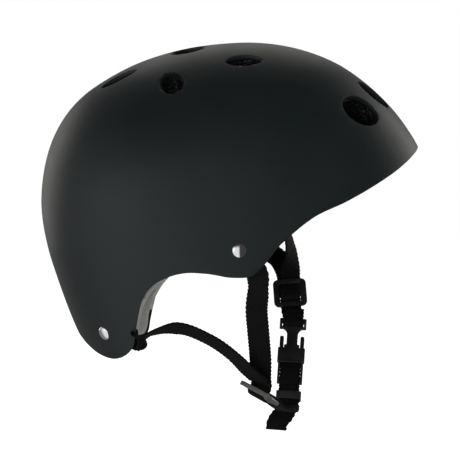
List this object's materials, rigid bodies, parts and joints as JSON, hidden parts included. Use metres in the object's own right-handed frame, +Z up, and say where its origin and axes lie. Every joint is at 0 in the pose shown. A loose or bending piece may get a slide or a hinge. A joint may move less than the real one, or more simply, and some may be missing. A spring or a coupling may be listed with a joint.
{
  "type": "skateboard helmet",
  "caption": "Black skateboard helmet: hard vented shell, foam liner, grey fit pads, and a riveted webbing chin harness with slides and a side release buckle.",
  "frame": {"origin": "the point of the crown pad that rests on top of the head, on the helmet's middle plane", "axes": "+X to the brow, +Y to the wearer's left, +Z up, as the straps hang; the helmet is tipped back 17 degrees about Y, as in the picture"},
  "size_m": [0.2749, 0.2152, 0.2859],
  "materials": {
    "shell": "satin black moulded plastic",
    "liner": "fused black foam beads",
    "pads": "brushed grey knit over foam",
    "webbing": "woven black webbing",
    "rivets": "polished dome head",
    "washers": "plain steel",
    "slides": "satin black moulding",
    "buckle": "satin black moulding",
    "keeper": "satin black moulding"
  },
  "bodies": {
    "helmet": {"outer_shell": "shell", "foam_liner": "liner", "crown_pad": "pads", "brow_pad": "pads", "nape_pad": "pads", "left_side_pad": "pads", "right_side_pad": "pads", "right_front_rivet": "rivets", "right_rear_rivet": "rivets", "left_front_rivet": "rivets", "left_rear_rivet": "rivets", "right_front_washer": "washers", "right_rear_washer": "washers", "left_front_washer": "washers", "left_rear_washer": "washers", "right_front_strap": "webbing", "right_rear_strap": "webbing", "left_front_strap": "webbing", "left_rear_strap": "webbing", "right_slide": "slides", "left_slide": "slides", "buckle_plug": "buckle"},
    "socket": {"buckle_socket": "buckle"},
    "keeper": {"strap_keeper": "keeper"},
    "front_latch": {"front_prong": "buckle"},
    "rear_latch": {"rear_prong": "buckle"}
  },
  "joints": [
    {"name": "buckle_release", "type": "slide", "parent": "helmet", "child": "socket", "axis": [-0.0593, -0.4671, -0.8822], "range_m": [0, 0.028], "deforming": ["right_front_strap", "front_prong", "rear_prong"]},
    {"name": "front_prong_squeeze", "type": "hinge", "parent": "helmet", "child": "front_latch", "pos_m": [0.09366, 0.03646, -0.19123], "axis": [0, -0.8838, 0.4679], "range_deg": [0, 4], "stiffness_Nm_per_rad": 0.5},
    {"name": "rear_prong_squeeze", "type": "hinge", "parent": "helmet", "child": "rear_latch", "pos_m": [0.07879, 0.03688, -0.19045], "axis": [0, 0.8838, -0.4679], "range_deg": [0, 4], "stiffness_Nm_per_rad": 0.5},
    {"name": "keeper_slide", "type": "slide", "parent": "socket", "child": "keeper", "axis": [0.0593, 0.4671, 0.8822], "range_m": [-0.003, 0.0055], "deforming": ["right_front_strap"]}
  ]
}
